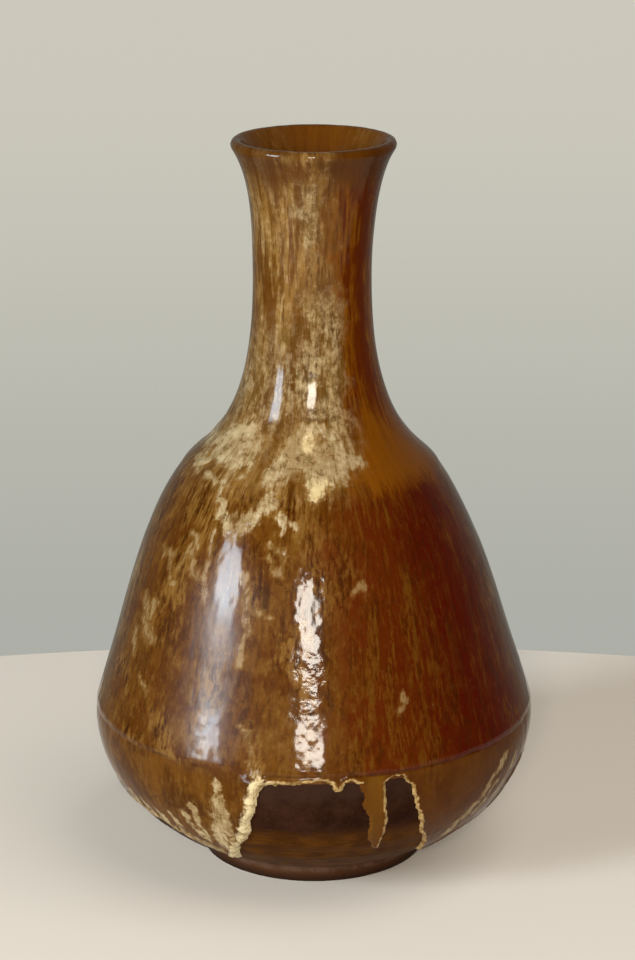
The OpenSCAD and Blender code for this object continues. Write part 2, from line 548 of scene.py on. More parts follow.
# %% [markdown]
# ## Cream strokes
#
# The cream glaze was trailed on by hand, mostly round the shoulder, and it ran in flecks down the
# belly. A stroke is a short line with a half width. We list the ones that give this pot its face,
# and let a seeded generator scatter the small flecks on the sides where no two pots agree.

# %% Strokes of cream glaze
# Each stroke: angle, height, angle, height, half width.
STROKES = [
    # Round the front of the shoulder.
    (-23, 115.5, -12, 121, 2.3), (-13, 121, -8, 125.5, 1.9), (-15, 118, -5, 119, 2.6),
    (-7, 122.5, 2, 121, 2.4), (-6, 125.5, 0, 125.5, 1.1), (0, 118, 14, 117.5, 2.7),
    (-2, 114, 9, 114.8, 1.6), (0, 111.8, 3, 112.2, 1.3), (10, 121.5, 19, 120, 2.0),
    (17, 118.5, 26, 118, 1.5), (4, 127, 14, 125, 1.2),
    # Round its left.
    (-64, 121.5, -50, 124, 3.0), (-52, 122.5, -38, 121.5, 3.3), (-48, 118.5, -36, 117.8, 2.2),
    (-62, 118, -48, 118, 2.4), (-84, 119, -66, 119.5, 2.2), (-78, 115, -64, 114.5, 1.0),
    (-58, 113, -48, 112, 0.7), (-45, 113, -41, 108, 0.6),
    # A hooked run just below it.
    (-40, 107.5, -32, 102.5, 1.2), (-31, 102, -24, 106.5, 1.8), (-24, 106.5, -17, 110.5, 1.3),
    (-13, 107, -12, 103, 0.8), (-11, 106, -7, 104.5, 0.6),
    # Runs and flecks down the belly.
    (-17, 100, -11, 98.5, 0.9), (-11, 98.5, -12, 93, 0.8), (-16, 97, -13, 93, 0.6),
    (-51, 100, -47, 99, 0.8), (-47, 99, -45, 92, 0.8), (-48, 97, -51, 90, 0.7),
    (-45, 91, -40, 90, 0.9), (-39.5, 101, -38, 92, 0.9), (-38, 92, -37, 84, 0.8),
    (-61, 92, -57, 93, 1.2), (-57, 92, -53, 86, 0.7), (-53, 86, -50, 86, 0.6),
    (-64, 80, -61, 73, 1.3), (-61, 73, -56, 70, 1.8), (-66, 70, -63, 65, 1.2),
    (-58, 80, -60, 75, 1.0), (-58, 60, -52, 57, 0.8), (-23.5, 92, -21, 80, 1.0),
    (-21, 80, -22, 70, 0.8), (-18, 84, -13, 83, 0.7), (-20, 55, -17, 53.5, 0.9),
    (-17.5, 53, -15.5, 44, 0.8), (-14, 46, -13.5, 43, 0.6), (12, 89, 17, 90, 0.9),
    (23, 58.5, 26, 61, 0.6), (25, 61, 25.5, 63, 0.5),
    # Drips above the foot on the left, and then on the right.
    (-24.6, 38.8, -24.4, 34, 1.0), (-24.8, 34, -24.6, 27, 1.8), (-25.5, 27, -27, 20, 2.3),
    (-23.5, 27, -21.5, 21, 1.2), (-28, 20, -22, 17, 1.6), (-34, 31, -31, 21, 0.8),
    (-37, 27, -33, 19, 1.1), (-43, 25, -39, 17, 0.9), (-49, 24, -45, 19, 0.8),
    (-55, 25, -51, 20, 0.9), (-61, 26, -57, 21, 0.8), (-68, 28, -64, 22, 0.9),
    (-66, 22.5, -50, 20, 1.1), (-50, 20, -38, 16, 1.3), (-38, 16, -28, 13.5, 1.4),
    (44, 17, 49, 25, 1.1), (49, 25, 53, 31, 1.2), (53, 31, 59, 38, 0.9), (52, 22, 57, 30, 0.8),
    (60, 24, 66, 36, 0.9),
    # The back of the shoulder.
    (-130, 121, -108, 122, 3.4), (-108, 121, -94, 119, 2.6), (-122, 115, -104, 114, 1.8),
    (178, 120, 160, 122, 3.2), (160, 121, 146, 118, 2.6), (172, 114, 156, 112, 1.8),
    (-150, 110, -141, 104, 1.5), (-141, 104, -133, 109, 1.5), (128, 119, 138, 121, 2.0),
]
FLECKS = 46
BACK_FROM, BACK_TO = 95.0, 285.0

dice = np.random.default_rng(7)
for _ in range(FLECKS):
    start = dice.uniform(BACK_FROM, BACK_TO)
    top = dice.uniform(50, 106)
    run = dice.uniform(2, 11)
    drift = dice.uniform(-2.5, 2.5)
    STROKES.append((start, top, start + drift, top - run, dice.uniform(0.6, 1.4)))
print(len(STROKES), "strokes of cream, the last", FLECKS, "by dice")


def cream_field(co):
    """1 in the middle of a stroke, 0 at its edge and beyond."""
    angle, z = angle_height(co)
    bend_x, bend_z = 1.6 * ripple(co, 4.0, 11, 4), 1.3 * ripple(co, 4.0, 12, 4)
    field = np.zeros(len(z))
    for a1, z1, a2, z2, half in STROKES:
        centre = (a1 + a2) / 2
        x = arc(angle, centre, z) + bend_x * min(1.0, half)
        x1 = math.radians(a1 - centre) * float(radius_at(z1))
        x2 = math.radians(a2 - centre) * float(radius_at(z2))
        gap = distance_to_line(x, z + bend_z * min(1.0, half), x1, z1, x2, z2)
        field = np.maximum(field, 1 - gap / (2.0 * half))
    return field


# %% [markdown]
# ## Shaders in a maker's words
#
# All finishes of the pot need the same few things: a Principled shader, the place on the pot,
# noise of a size in millimetres, and masks for a sector of the pot or a band of heights. We read
# the place from Object coordinates, so the patterns pass over the joins between two pieces.


# %% Shader helpers
def shader(name):
    """A new material, its tree and its Principled node."""
    material = bpy.data.materials.new(name)
    material.use_nodes = True
    tree = material.node_tree
    tree.nodes.clear()
    body = make(tree, "ShaderNodeBsdfPrincipled", output=None)
    make(tree, "ShaderNodeOutputMaterial", None, {"Surface": Wire(tree, body.outputs[0])})
    return material, tree, body


def feed(body, wires):
    """Links wires to the sockets of a shader by name."""
    for name, wire in wires.items():
        wire.tree.links.new(wire.socket, body.inputs[name])


def pot_places(tree):
    """Object coordinates in millimetres: x, y, z, the angle in degrees and the way out."""
    axes = axes_of(tree, make(tree, "ShaderNodeTexCoord", output="Object"))
    x, y, z = (axis / MM for axis in axes)
    angle = x.math("ARCTAN2", y * -1.0) * (180 / math.pi)
    far = (x * x + y * y).math("SQRT")
    return x, y, z, angle, x / far, y / far


def speckle(tree, place, size, detail=4.0, roughness=0.6, distortion=0.0):
    """Noise from about 0 to 1 with features of a size in millimetres."""
    inputs = {
        "Vector": place,
        "Scale": 1 / size,
        "Detail": detail,
        "Roughness": roughness,
        "Distortion": distortion,
    }
    return make(tree, "ShaderNodeTexNoise", None, inputs)


def sector(angle, centre, half, soft):
    """1 within half a width of an angle, round the back as well, with soft ends."""
    off = abs((angle - centre).math("WRAP", 180.0, -180.0))
    return 1 - off.step(half - soft, half + soft)


def between(value, low, high, soft):
    return value.step(low - soft, low + soft) * (1 - value.step(high - soft, high + soft))


def either(*masks):
    """The strongest of several masks."""
    strongest = masks[0]
    for mask in masks[1:]:
        strongest = strongest.math("MAXIMUM", mask)
    return strongest


def field(tree, name):
    return make(tree, "ShaderNodeAttribute", {"attribute_name": name}, None, output=2)


def uneven_skin(tree, body, strength, depth, height):
    """Bump of a depth in metres, for the small unevenness that breaks up reflections."""
    bump = {"Strength": strength, "Distance": depth, "Height": height}
    feed(body, {"Normal": make(tree, "ShaderNodeBump", None, bump)})


# %% [markdown]
# ## Glaze colour
#
# All the outer coats share one shader, so the colour flows over their joins. It is built up the
# way the kiln did it: an amber ground, iron red where the coat is thick and the flame was strong,
# tan and olive mottling where it broke, streaks that follow the wall downwards, and cream on top.
# What changes over the surface feeds only the base colour, the roughness, the weight of a hazy top
# coat and a bump. An image could hold the same pattern, but noise stays sharp from near by and
# wraps round the pot without a seam.

# %% Palette, in linear light
BROWN = (0.050, 0.0155, 0.0011, 1)
AMBER = (0.084, 0.030, 0.0027, 1)
DARK = (0.026, 0.0070, 0.0006, 1)
TAN = (0.155, 0.078, 0.017, 1)
OLIVE = (0.112, 0.055, 0.010, 1)
SAND = (0.255, 0.168, 0.074, 1)
HONEY = (0.124, 0.038, 0.0012, 1)
THROAT = (0.068, 0.022, 0.0020, 1)
RUSSET = (0.062, 0.0180, 0.0010, 1)
RUST = (0.060, 0.0095, 0.0006, 1)
EMBER = (0.055, 0.0140, 0.0005, 1)
MAROON = (0.048, 0.0030, 0.0004, 1)
DRIP = (0.100, 0.041, 0.0032, 1)
SMOKE = (0.205, 0.135, 0.060, 1)
CREAM = (0.350, 0.270, 0.145, 1)
# Thick cream, also used as a painted highlight on the front of the shoulder.
BUTTER_HIGHLIGHT = (0.540, 0.420, 0.215, 1)
PEARL = (0.430, 0.375, 0.250, 1)
MOSS = (0.110, 0.085, 0.018, 1)
MURK = (0.046, 0.024, 0.0045, 1)
# The beads' dark and light tones, for thin beads and for the thick one.
THIN_BEAD = (0.150, 0.080, 0.022, 1), (0.400, 0.275, 0.115, 1)
THICK_BEAD = (0.260, 0.185, 0.085, 1), (0.560, 0.470, 0.280, 1)

# %% [markdown]
# ## Noises that the whole glaze shares
#
# A glaze runs down the wall as it melts, so its pattern is stretched along Z and goes round the
# pot at an even scale. We sample it on a cylinder, which a flat noise can't wrap round. The belly
# and the neck differ so much in girth that each has a cylinder of its own, and they fade into each
# other low on the neck. Two bent coordinates shift every border by a cloud, so that none is ruled.

# %% Shared patterns
BELLY_TURN, NECK_TURN, STREAK_TURN = 42.0, 19.0, 60.0


def glaze_patterns(tree):
    """The places on the pot and the noises that the glaze is mixed from."""
    x, y, z, angle, out_x, out_y = pot_places(tree)
    here = vector(tree, x, y, z)
    neck_share = z.step(117.0, 128.0)

    def running(size, stretch, detail, roughness, distortion):
        low_place = vector(tree, out_x * BELLY_TURN, out_y * BELLY_TURN, z * stretch)
        high_place = vector(tree, out_x * NECK_TURN, out_y * NECK_TURN, z * stretch + 40.0)
        low_part = speckle(tree, low_place, size, detail, roughness, distortion)
        high_part = speckle(tree, high_place, size, detail, roughness, distortion)
        return low_part + (high_part - low_part) * neck_share

    long_run = vector(tree, out_x * STREAK_TURN, out_y * STREAK_TURN, z * 0.09)
    p = SimpleNamespace(tree=tree, z=z, angle=angle, here=here)
    p.cloud = speckle(tree, here, 9.0, 5.0, 0.62, 0.5)
    p.curd = speckle(tree, here, 2.2, 6.0, 0.72, 0.35)
    p.grain = speckle(tree, here, 0.6, 3.0, 0.7)
    p.patch = speckle(tree, vector(tree, x, y, z * 0.5), 15.0, 4.0, 0.6, 0.8)
    p.flow = running(3.2, 0.28, 6.0, 0.72, 0.7)
    p.thread = running(0.9, 0.26, 4.0, 0.72, 0.2)
    p.vein = running(1.7, 0.12, 5.0, 0.72, 0.3)
    p.wide_vein = running(3.8, 0.14, 5.0, 0.7, 0.5)
    p.streak = speckle(tree, long_run, 2.4, 6.0, 0.7)
    p.fleck = p.flow * 0.5 + p.thread * 0.5
    p.bent = angle + (p.cloud - 0.5) * 50.0 + (p.flow - 0.5) * 26.0
    p.z_bent = z + (p.cloud - 0.5) * 14.0 + (p.flow - 0.5) * 8.0
    p.hot = either(sector(p.bent, 46.0, 37.0, 12.0), sector(p.bent, 175.0, 26.0, 18.0) * 0.85)
    return p


# %% [markdown]
# ## Belly
#
# On its left the belly is brown, broken with tan and olive flecks. On its right, where the kiln
# was hottest, it is iron red with long amber streaks and a maroon heart. Each is mixed on its own,
# and one soft mask parts them.


# %% Belly colour
def belly_colour(p):
    tree = p.tree
    left = blend(tree, p.cloud.step(0.42, 0.56), RUSSET, AMBER)
    broken = 0.55 + p.patch.step(0.44, 0.58) * 0.45
    left = blend(tree, (1 - p.fleck).step(0.47, 0.60) * broken, left, DARK)
    dense = (p.patch * 0.6 + p.cloud * 0.4).step(0.44, 0.58)
    tan_fleck = (p.fleck + (dense - 0.5) * 0.10).step(0.50, 0.64)
    left = blend(tree, tan_fleck * (0.20 + dense * 0.58), left, TAN)
    left = blend(tree, (p.curd * 0.55 + p.fleck * 0.45).step(0.49, 0.60) * 0.38, left, OLIVE)

    heart = sector(p.bent, 50.0, 13.0, 14.0)
    right = blend(tree, heart, RUST, MAROON)
    long_streak = (p.streak * 0.6 + p.thread * 0.4).step(0.48, 0.60)
    right = blend(tree, long_streak * (0.95 - heart * 0.75), right, AMBER)
    right = blend(tree, (1 - p.fleck).step(0.49, 0.62) * 0.6, right, DARK)

    dark_run = sector(p.angle, -15.5, 1.3, 0.8) * between(p.z, 84.0, 91.0, 1.5)
    return blend(tree, dark_run * 0.8, blend(tree, p.hot, left, right), DARK)


# %% [markdown]
# ## Neck
#
# The neck is sandy, veined with brown and olive, and turns to honey and rust on its right. Low on
# its front the cream ran thin and netted, like marble. The lip is bare of cream and brown, and the
# throat behind it a little lighter.


# %% Neck colour
def neck_colour(p):
    tree = p.tree
    pale = blend(tree, p.patch.step(0.40, 0.56), AMBER, TAN)
    sandy = (p.flow * 0.5 + p.curd * 0.5).step(0.48, 0.62)
    pale = blend(tree, sandy * (0.2 + p.patch.step(0.42, 0.56) * 0.6), pale, SAND)
    murky = (1 - (p.flow * 0.6 + p.cloud * 0.4)).step(0.50, 0.62)
    pale = blend(tree, murky * 0.55, pale, MURK)
    pale = blend(tree, p.wide_vein.step(0.49, 0.60) * 0.8, pale, RUSSET)
    pale = blend(tree, (p.vein * 0.7 + p.thread * 0.3).step(0.50, 0.61) * 0.75, pale, BROWN)

    tawny = blend(tree, p.vein.step(0.42, 0.60), HONEY, RUST)
    tawny = blend(tree, (1 - p.fleck).step(0.49, 0.62) * 0.6, tawny, BROWN)
    band = sector(p.bent, 52.0, 10.0, 8.0) * p.z_bent.step(124.0, 136.0)
    tawny = blend(tree, band, tawny, RUST)

    side = either(sector(p.bent, 60.0, 38.0, 12.0), sector(p.bent, 175.0, 22.0, 14.0))
    colour = blend(tree, side, pale, tawny)
    glow = sector(p.bent, 52.0, 30.0, 12.0) * between(p.z_bent, 109.0, 125.0, 6.0)
    colour = blend(tree, glow * 0.85, colour, HONEY)
    lip = p.z_bent.step(186.0, 196.0) * (1 - sector(p.bent, -6.0, 14.0, 9.0) * 0.9)
    mouth = blend(tree, sector(p.angle, 180.0, 80.0, 14.0), BROWN, THROAT)
    return marbled(p, blend(tree, lip * 0.8, colour, mouth))


def marbled(p, colour):
    """Lays the thin netted cream over a colour."""
    tree = p.tree
    marble = either(
        sector(p.bent, 8.0, 18.0, 8.0) * between(p.z_bent, 120.0, 160.0, 7.0),
        sector(p.bent, -34.0, 40.0, 14.0) * between(p.z_bent, 120.0, 150.0, 9.0) * 0.6,
        sector(p.bent, -135.0, 34.0, 14.0) * between(p.z_bent, 120.0, 150.0, 9.0),
        sector(p.bent, -6.0, 10.0, 8.0) * between(p.z_bent, 174.0, 192.0, 4.0) * 0.9,
    )
    net = (p.curd * 0.4 + p.flow * 0.3 + p.thread * 0.3).step(0.42, 0.56)
    knots = (p.curd * 0.4 + p.vein * 0.3 + p.thread * 0.3).step(0.48, 0.62)
    netted = blend(tree, knots * 0.95, blend(tree, net, MURK, SMOKE), CREAM)
    cover = (p.flow * 0.6 + p.cloud * 0.4).step(0.38, 0.54)
    return blend(tree, marble * cover * 0.88, colour, netted)


# %% [markdown]
# ## Base coat and dip line
#
# Below the dip line only the base coat is left: amber, with a warmer right side and one golden
# drip between the two front arches. The upper coat ends in a thin darker line. Its height wavers
# by a soft noise, the way a dipped edge does.


# %% Base colour and the two coats together
DIP_Z = 43.0


def base_colour(p):
    tree = p.tree
    base = blend(tree, p.cloud.step(0.38, 0.62), BROWN, AMBER)
    base_streak = (p.streak * 0.4 + p.thread * 0.6).step(0.50, 0.62)
    base = blend(tree, base_streak * (0.3 - p.hot * 0.15), base, TAN)
    base = blend(tree, (1 - p.fleck).step(0.49, 0.62) * 0.4, base, DARK)
    base = blend(tree, p.hot * 0.55, base, EMBER)
    drip = sector(p.angle, 15.6, 2.4, 1.2) * p.z.step(18.0, 26.0)
    return blend(tree, drip * 0.6, base, DRIP)


def coat_colour(p):
    """Belly and neck, with the base coat under the dip line."""
    tree = p.tree
    to_neck = (p.z + (p.fleck - 0.5) * 16.0).step(108.0, 114.0)
    colour = blend(tree, to_neck, belly_colour(p), neck_colour(p))
    dip = p.z + (speckle(tree, p.here, 14.0, 2.0) - 0.5) * 1.6
    bare_of_upper = 1 - dip.step(DIP_Z - 0.6, DIP_Z + 0.4)
    colour = blend(tree, bare_of_upper, colour, base_colour(p))
    line = between(dip, DIP_Z - 0.1, DIP_Z + 0.6, 0.3)
    return blend(tree, line * (p.cloud.step(0.44, 0.56) * 0.45 + p.hot * 0.1), colour, DARK)


# %% [markdown]
# ## Cream and beads
#
# The strokes come in as a field that is stored on the mesh, strong in the middle of a stroke.
# Noise tears its edge: feathered on the belly, where the cream ran, and dense on the shoulder,
# where it lies thick, with two buttery lumps at the front, which also carry a painted highlight.
# The rolled edges have a field of their own, and small glassy pools of moss green in them.


# %% Cream strokes
def cream_laid(p, colour):
    """The colour with the cream strokes on it, and how thick they lie."""
    tree = p.tree
    stroke = field(tree, "cream")
    thread, curd, flow = p.thread - 0.5, p.curd - 0.5, p.flow - 0.5
    dense = either(p.z_bent.step(98.0, 106.0), 1 - p.z.step(40.0, 46.0))
    parting = sector(p.angle, -29.5, 2.5, 2.5) * between(p.z, 112.0, 130.0, 2.5)
    torn = stroke + thread * (2.2 - dense * 1.1) + curd * 0.9 + flow * (1.3 - dense * 0.5)
    lump = (torn + dense * 0.20 - parting * 0.7 - 0.10).step(0.38, 0.88)

    tone = (p.cloud * 0.45 + p.curd * 0.30 + p.thread * 0.25).step(0.44, 0.61)
    thick = blend(tree, tone * (0.30 + dense * 0.55), SMOKE, CREAM)
    pearly = (p.flow * 0.5 + p.curd * 0.5).step(0.52, 0.64)
    thick = blend(tree, pearly * dense * 0.4, thick, PEARL)
    thick = blend(tree, (1 - p.curd).step(0.53, 0.64) * 0.7, thick, BROWN)
    thick = blend(tree, (1 - p.fleck).step(0.52, 0.63) * dense * 0.7, thick, MOSS)
    # Two lumps at the front: thick cream, and also a painted highlight.
    butter_highlight = either(
        sector(p.angle, -3.0, 4.0, 4.0) * between(p.z, 120.5, 126.0, 2.5),
        sector(p.angle, 3.0, 6.0, 6.0) * between(p.z, 110.0, 115.5, 2.6),
    )
    rich = (butter_highlight * 1.1 + curd * 1.4 + thread * 1.2).step(0.30, 1.05) * stroke.step(0.2, 0.5)
    thick = blend(tree, rich * 0.75, thick, BUTTER_HIGHLIGHT)

    halo = (stroke + curd * 1.2).step(0.05, 0.60)
    colour = blend(tree, halo * 0.45, colour, TAN)
    return blend(tree, lump * (0.48 + dense * 0.38), colour, thick), lump


# %% Rolled edges
def beads_laid(p, colour):
    tree = p.tree
    roll = field(tree, "roll")
    bead = (roll + (p.curd - 0.5) * 0.9 + (p.thread - 0.5) * 0.4).step(0.24, 0.60)
    thick_end = sector(p.angle, -24.0, 12.0, 5.0)
    low_tone, high_tone = (
        blend(tree, thick_end, thin, thick) for thin, thick in zip(THIN_BEAD, THICK_BEAD)
    )
    clot = blend(tree, (p.curd * 0.6 + p.grain * 0.4).step(0.40, 0.57), low_tone, high_tone)
    pools = (1 - p.curd).step(0.53, 0.66) * p.z.step(39.0, 41.5)
    clot = blend(tree, pools * 0.85, clot, MOSS)
    return blend(tree, bead * 0.9, colour, clot)


# %% [markdown]
# ## Gloss
#
# A clear gloss would mirror the left window in one hard-edged bar. On the real pot that side is
# hazy with fine crystals, so the coat layer, which is rough, lies over it as a soft veil, and the
# base layer is rougher round the waist. The rest is glossy and slightly uneven, like orange peel,
# and breaks the front window into sparks. The base coat is the duller of the two coats.


# %% Glaze material
def glaze_material(name, shine):
    material, tree, body = shader(name)
    p = glaze_patterns(tree)
    colour, lump = cream_laid(p, coat_colour(p))
    hazy_side = sector(p.angle, -38.0, 22.0, 12.0)
    waist = between(p.z, 58.0, 82.0, 5.0)
    gloss = 0.075 + hazy_side * (0.03 + waist * 0.15) + (p.cloud - 0.4) * 0.08 + lump * 0.15
    veil = sector(p.angle, -32.0, 16.0, 13.0) * between(p.z, 46.0, 92.0, 8.0)
    feed(body, {
        "Base Color": beads_laid(p, colour),
        "Roughness": gloss,
        "Coat Weight": veil * (1 - waist * 0.35) * 0.36 + 0.02,
    })
    body.inputs["Specular IOR Level"].default_value = shine
    body.inputs["Coat Roughness"].default_value = 0.38

    crisp = sector(p.angle, 0.0, 14.0, 10.0) * (0.25 + between(p.z, 57.0, 73.0, 3.0)) + 0.12
    peel = speckle(tree, p.here, 3.2, 1.0, 0.5)
    peel = (peel + speckle(tree, p.here, 1.1, 1.0, 0.5) * crisp * 0.22) * (1 - hazy_side * 0.55)
    uneven_skin(tree, body, 0.18, 0.0005, peel + lump * 0.12)
    return material


GLAZE = glaze_material("glaze", 0.13)
BASE_GLAZE = glaze_material("base_glaze", 0.05)
print("glaze", len(GLAZE.node_tree.nodes), "nodes")

# %% [markdown]
# ## Bare clay and the liner
#
# The clay is an iron-rich stoneware. Fired bare, it turns dark brown and takes a dull sheen, and
# near the foot a thin wash of the glaze flashed it amber. Inside, a plain amber liner glaze keeps
# the water in.


# %% Clay colours
CLAY_DARK = (0.013, 0.0040, 0.0018, 1)
CLAY_LIGHT = (0.028, 0.0105, 0.0050, 1)
CLAY_ASH = (0.026, 0.0125, 0.0080, 1)
WASH_DARK = (0.034, 0.0105, 0.0008, 1)
WASH_LIGHT = (0.064, 0.0220, 0.0016, 1)
WASH_GRIT = (0.030, 0.010, 0.0014, 1)
FOOT_BROWN = (0.036, 0.014, 0.006, 1)
# Painted reflection: a pale band on the foot's ridge.
FOOT_REFLECTION = (0.080, 0.044, 0.028, 1)
# Painted shade where the foot meets the table.
CONTACT_SHADE = (0.012, 0.006, 0.004, 1)
# Painted shadow in the crease between foot and belly.
CREASE_SHADOW = (0.012, 0.005, 0.003, 1)
LINER_DARK = (0.085, 0.024, 0.002, 1)
LINER_LIGHT = (0.20, 0.075, 0.010, 1)


# %% Clay
def foot_colour_and_painted_light(tree, z, cloud, colour):
    """Foot brown, painted reflection on the ridge, painted shade at table and belly."""
    foot = 1 - (z + (cloud - 0.5) * 1.2).step(5.4, 7.4)
    colour = blend(tree, foot * 0.9, colour, FOOT_BROWN)
    # Painted reflection: a pale band round the foot's ridge.
    reflection_band = between(z, 3.0, 4.8, 0.8) * (0.3 + cloud.step(0.42, 0.56) * 0.7)
    colour = blend(tree, reflection_band * 0.8, colour, FOOT_REFLECTION)
    # Painted shade: darker where the foot meets the table.
    colour = blend(tree, (1 - z.step(0.6, 2.8)) * 0.75, colour, CONTACT_SHADE)
    # Painted shadow in the crease where the foot meets the belly.
    return blend(tree, between(z, 5.4, 6.6, 0.6) * 0.6, colour, CREASE_SHADOW)


def clay_material():
    material, tree, body = shader("bare_clay")
    x, y, z, angle, out_x, out_y = pot_places(tree)
    here = vector(tree, x, y, z)
    rings = speckle(tree, vector(tree, out_x * 8.0, out_y * 8.0, z), 1.0, 4.0)
    grit = speckle(tree, here, 0.5, 3.0, 0.7)
    cloud = speckle(tree, here, 7.0, 5.0, 0.65)
    dark = blend(tree, (cloud * 0.6 + grit * 0.4).step(0.38, 0.62), CLAY_DARK, CLAY_LIGHT)
    ashy = (z + (cloud - 0.5) * 8.0).step(33.0, 39.0)
    dark = blend(tree, ashy * 0.6, dark, CLAY_ASH)
    wash = blend(tree, (cloud * 0.5 + rings * 0.5).step(0.40, 0.60), WASH_DARK, WASH_LIGHT)
    wash = blend(tree, grit.step(0.52, 0.68) * 0.4, wash, WASH_GRIT)
    front = sector(angle + (cloud - 0.5) * 10.0, 3.0, 38.0, 6.0)
    low = 1 - (z + (cloud - 0.5) * 9.0).step(23.5, 27.5)
    colour = blend(tree, low * (0.35 + front * 0.65), dark, wash)
    colour = foot_colour_and_painted_light(tree, z, cloud, colour)
    feed(body, {"Base Color": colour, "Roughness": 0.66 - low * 0.28 + grit * 0.12})
    body.inputs["Specular IOR Level"].default_value = 0.02
    uneven_skin(tree, body, 0.5, 0.0004, grit * 0.6 + rings * 0.5)
    return material


# %% Liner
def liner_material():
    material, tree, body = shader("liner_glaze")
    x, y, z, *_ = pot_places(tree)
    here = vector(tree, x, y, z)
    cloud = speckle(tree, here, 5.0, 5.0, 0.65, 0.6)
    feed(body, {"Base Color": blend(tree, cloud.step(0.35, 0.65), LINER_DARK, LINER_LIGHT)})
    body.inputs["Roughness"].default_value = 0.09
    body.inputs["Specular IOR Level"].default_value = 0.13
    uneven_skin(tree, body, 0.3, 0.0005, speckle(tree, here, 2.0, 3.0))
    return material


CLAY = clay_material()
LINER = liner_material()
print("clay", len(CLAY.node_tree.nodes), "nodes, liner", len(LINER.node_tree.nodes), "nodes")

# %% [markdown]
# ## The clay pot
#
# The clay comes first: a belly section with its floor, a neck section, and between them the ring
# of slip that joins them. Each is a closed form, inside and out, as it would come off the wheel.
# The foot ring is turned separately, with soft corners where it was sponged.

# %% Clay pieces
COAT = 0.8
SLIP = 0.3
joint_low, joint_high = SHOULDER[1] - SLIP, SHOULDER[1] + SLIP
belly_profile = np.vstack([
    [(0, FOOT_TOP[1])],
    outside(COAT, high=joint_low),
    inside(COAT, high=joint_low),
    [(0, inside(COAT)[-1][1])],
])
belly = turned("clay_belly", belly_profile, 300, 200, CLAY, ring_depth=0.22)

neck_profile = np.vstack([outside(COAT, low=joint_high), rim(COAT), inside(COAT, low=joint_high)])
neck_profile = np.vstack([neck_profile, neck_profile[:1]])
neck = turned("clay_neck", neck_profile, 180, 160, CLAY)


# %% Slip ring
def wall_radius(path, z):
    order = np.argsort(path[:, 1])
    return float(np.interp(z, path[order, 1], path[order, 0]))


near_joint = outside(COAT, 80, 140), inside(COAT, 80, 140)
slip_profile = [
    (wall_radius(near_joint[0], joint_low), joint_low),
    (wall_radius(near_joint[0], SHOULDER[1]) + 0.1, SHOULDER[1]),
    (wall_radius(near_joint[0], joint_high), joint_high),
    (wall_radius(near_joint[1], joint_high), joint_high),
    (wall_radius(near_joint[1], SHOULDER[1]) - 0.15, SHOULDER[1]),
    (wall_radius(near_joint[1], joint_low), joint_low),
]
slip = turned("shoulder_slip_ring", slip_profile + slip_profile[:1], 120, 24, CLAY)


# %% Foot ring
def corner(r, z, radius, first, last, steps=6):
    """A round corner about a centre, from a first to a last angle in degrees."""
    turn = np.radians(np.linspace(first, last, steps))
    return np.stack([r + radius * np.cos(turn), z + radius * np.sin(turn)], axis=1)


FOOT_R, FOOT_W = 31.3, 7.0
foot_profile = np.vstack([
    [(FOOT_R - FOOT_W, FOOT_TOP[1])],
    corner(FOOT_R - FOOT_W + 1.0, 1.0, 1.0, 180, 270),
    corner(FOOT_R - 0.7, 0.7, 0.7, 270, 360),
    corner(FOOT_TOP[0] - 0.3, FOOT_TOP[1] - 0.3, 0.3, 0, 90, 4),
    [(FOOT_R - FOOT_W, FOOT_TOP[1])],
])
foot = turned("clay_foot", foot_profile, 240, 60, CLAY, ring_depth=0.1, ring_spacing=2.4)

# %% [markdown]
# ## The coats
#
# A coat is a sheet that follows the wall and is then lifted or sunk point by point. Where it ends,
# it sinks under what it lies on, so that its visible edge is a true line of contact and not a row
# of stair steps. Solidify then closes each sheet into a skin with an inner face and rims.

# %% Shaping a coat
SKIN = 0.35


def lift(piece, heights):
    """Moves each point of a sheet along its normal, by heights in millimetres."""
    mesh = piece.data
    co = points_of(mesh) + normals_of(mesh) * (heights * MM)[:, None]
    mesh.vertices.foreach_set("co", co.ravel())
    mesh.update()


def drop_faces(piece, unwanted):
    """Deletes the faces that a test picks from the numbers of their points."""
    form = bmesh.new()
    form.from_mesh(piece.data)
    doomed = [f for f in form.faces if unwanted([v.index for v in f.verts])]
    bmesh.ops.delete(form, geom=doomed, context="FACES")
    form.to_mesh(piece.data)
    form.free()


def close_skin(piece, thickness=SKIN):
    modifier = piece.modifiers.new("skin", "SOLIDIFY")
    modifier.thickness = thickness * MM
    modifier.offset = -1
    evaluated = piece.evaluated_get(bpy.context.evaluated_depsgraph_get())
    mesh = bpy.data.meshes.new_from_object(evaluated)
    piece.modifiers.clear()
    old = piece.data
    piece.data = mesh
    mesh.name = piece.name
    mesh.set_sharp_from_angle(angle=math.radians(50))
    bpy.data.meshes.remove(old)
    print(piece.name, "closed,", sum(len(p.vertices) - 2 for p in mesh.polygons), "triangles")


# %% Base coat and rolled edges
UPPER_COAT = 0.3
BASE_T = COAT - UPPER_COAT


def coat_height(depth, roll):
    """Height of the base coat over the clay, from its distance into the coat."""
    round_over = 0.25 + 0.35 * roll
    rise = np.sqrt(1 - (1 - np.clip(depth / round_over, 0, 1)) ** 2)
    bead = 0.24 * roll * (1 - smooth(depth, 0.5 * roll, 1.5 * roll + 0.3))
    sunk = -0.45 * smooth(-depth, 0, 0.9)
    return np.where(depth > 0, (BASE_T + bead) * rise, sunk)


